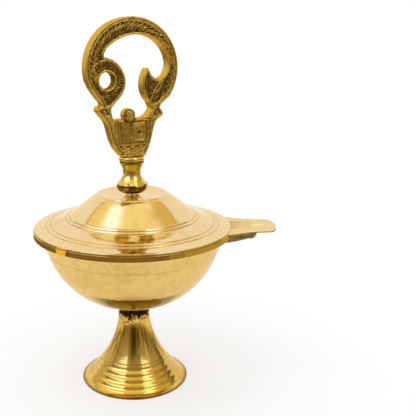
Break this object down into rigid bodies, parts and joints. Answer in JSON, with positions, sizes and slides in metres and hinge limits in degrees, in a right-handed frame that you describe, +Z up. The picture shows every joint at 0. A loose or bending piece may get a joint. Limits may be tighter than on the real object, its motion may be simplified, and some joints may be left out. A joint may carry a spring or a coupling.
{
  "type": "oil lamp",
  "caption": "Lidded brass oil lamp: round bowl with a wick spout on a flared hollow foot, and a domed lid lifted by a cast ring-and-leaf finial.",
  "frame": {"origin": "on the ground, below the middle of the lamp's overall length and width", "axes": "+Z up along the foot, +X towards the spout's tip, +Y away from the side the picture shows"},
  "size_m": [0.0926, 0.0756, 0.14],
  "materials": {
    "foot_brass": "polished, lacquered, tarnished streaks",
    "neck_solder": "scorched hard solder",
    "bowl_brass": "polished, lacquered",
    "spout_brass": "satin polished casting",
    "spout_solder": "scorched hard solder",
    "lid_brass": "polished, lacquered",
    "ring_brass": "satin",
    "bead_brass": "polished",
    "stem_brass": "polished casting, darkened under the lip",
    "cast_brass": "cast relief, bright raised edges, dark recesses",
    "stud_brass": "cut thread",
    "washer_brass": "stamped",
    "nut_brass": "machined"
  },
  "bodies": {
    "base": {"foot": "foot_brass", "neck_braze": "neck_solder", "bowl": "bowl_brass", "spout": "spout_brass", "spout_braze": "spout_solder"},
    "lid": {"lid": "lid_brass", "lid_locating_ring": "ring_brass", "crown_bead": "bead_brass", "finial_stem": "stem_brass", "finial_ornament": "cast_brass", "finial_stud": "stud_brass", "stud_washer": "washer_brass", "stud_nut": "nut_brass"}
  },
  "joints": [
    {"name": "lid_lift", "type": "slide", "parent": "base", "child": "lid", "axis": [0, 0, 1], "range_m": [0, 0.04]}
  ]
}
